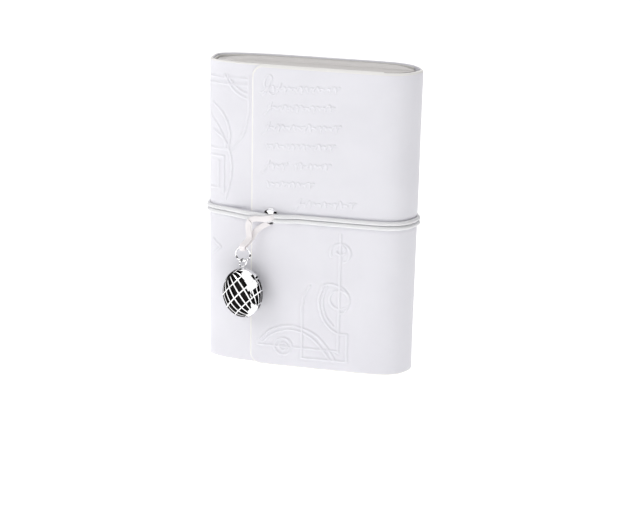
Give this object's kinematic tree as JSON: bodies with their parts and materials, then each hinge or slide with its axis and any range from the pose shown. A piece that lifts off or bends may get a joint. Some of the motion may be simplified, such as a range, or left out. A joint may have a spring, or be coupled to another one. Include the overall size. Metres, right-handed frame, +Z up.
{
  "type": "wrap cover pocket journal",
  "caption": "Upright pocket journal in a soft white embossed wrap cover, closed by a doubled cord over a grooved stud, with a latticed globe charm on a lace.",
  "frame": {"origin": "standing edge of the back cover, at mid-width and half way through the leather", "axes": "+Z up along the cover's height, +X from the spine to the fore-edge, +Y out of the back cover, so the front faces -Y"},
  "size_m": [0.1196, 0.046, 0.17],
  "materials": {
    "cover_leather": "soft matt, finely grained, blind embossed",
    "endpaper": "matt",
    "page_paper": "matt",
    "thread": "matt",
    "cord": "satin",
    "lace": "soft matt",
    "silver": "polished",
    "blackened_silver": "blackened"
  },
  "bodies": {
    "root": {"back_cover": "cover_leather", "endpaper_rear": "endpaper", "sheets_rear_1": "page_paper", "sheets_rear_2": "page_paper", "sheets_rear_3": "page_paper", "sheets_rear_4": "page_paper", "binding_thread": "thread", "cord_back_upper": "cord", "cord_back_lower": "cord"},
    "front_cover_body": {"front_cover": "cover_leather", "endpaper_front": "endpaper", "cord_front_upper": "cord", "cord_front_lower": "cord"},
    "cord_loop_body": {"cord_loop": "cord"},
    "flap_body": {"flap": "cover_leather", "stud_cap": "silver", "stud_post": "silver", "stud_washer": "silver", "cord_flap_upper": "cord", "cord_flap_lower": "cord"},
    "sheets_1_body": {"sheets_front_1": "page_paper"},
    "sheets_2_body": {"sheets_front_2": "page_paper"},
    "sheets_3_body": {"sheets_front_3": "page_paper"},
    "sheets_4_body": {"sheets_front_4": "page_paper"},
    "lace_body": {"charm_lace": "lace"},
    "ring_body": {"jump_ring": "silver"},
    "globe_body": {"charm_bail": "silver", "globe_cage": "silver", "globe_land_north": "silver", "globe_land_south": "silver", "globe_core": "blackened_silver"}
  },
  "joints": [
    {"name": "front_cover_open", "type": "hinge", "parent": "root", "child": "front_cover_body", "pos_m": [-0.05745, -0.0137, 0.085], "axis": [0, 0, -1], "range_deg": [0, 178], "deforming": ["front_cover", "endpaper_front", "sheets_front_1", "sheets_front_2", "sheets_front_3", "sheets_front_4", "cord_front_upper", "cord_front_lower", "cord_loop", "cord_back_upper", "cord_back_lower"]},
    {"name": "flap_open", "type": "hinge", "parent": "root", "child": "flap_body", "pos_m": [0.05745, -0.0137, 0.085], "axis": [0, 0, 1], "range_deg": [0, 178], "deforming": ["cord_flap_upper", "cord_flap_lower"]},
    {"name": "cord_unhook", "type": "hinge", "parent": "front_cover_body", "child": "cord_loop_body", "pos_m": [-0.034, -0.02892, 0.087], "axis": [0, 0, -1], "range_deg": [0, 65]},
    {"name": "sheets_1_turn", "type": "hinge", "parent": "root", "child": "sheets_1_body", "pos_m": [-0.05745, -0.0137, 0.085], "axis": [0, 0, -1], "range_deg": [0, 178]},
    {"name": "sheets_2_turn", "type": "hinge", "parent": "root", "child": "sheets_2_body", "pos_m": [-0.05745, -0.0137, 0.085], "axis": [0, 0, -1], "range_deg": [0, 178]},
    {"name": "sheets_3_turn", "type": "hinge", "parent": "root", "child": "sheets_3_body", "pos_m": [-0.05745, -0.0137, 0.085], "axis": [0, 0, -1], "range_deg": [0, 178]},
    {"name": "sheets_4_turn", "type": "hinge", "parent": "root", "child": "sheets_4_body", "pos_m": [-0.05745, -0.0137, 0.085], "axis": [0, 0, -1], "range_deg": [0, 178]},
    {"name": "lace_swing", "type": "hinge", "parent": "flap_body", "child": "lace_body", "pos_m": [-0.0288, -0.03565, 0.084], "axis": [0, 1, 0], "range_deg": [-20, 20]},
    {"name": "ring_swing", "type": "hinge", "parent": "lace_body", "child": "ring_body", "pos_m": [-0.0338, -0.03565, 0.07105], "axis": [0, 1, 0], "range_deg": [-10, 10]},
    {"name": "globe_swing", "type": "hinge", "parent": "ring_body", "child": "globe_body", "pos_m": [-0.0338, -0.03565, 0.06305], "axis": [-1, 0, 0], "range_deg": [0, 60]}
  ],
  "couplings": [
    {"joint": "sheets_1_turn", "follows": "front_cover_open", "ratio": 0.97},
    {"joint": "sheets_2_turn", "follows": "front_cover_open", "ratio": 0.945},
    {"joint": "sheets_3_turn", "follows": "front_cover_open", "ratio": 0.92},
    {"joint": "sheets_4_turn", "follows": "front_cover_open", "ratio": 0.895}
  ]
}
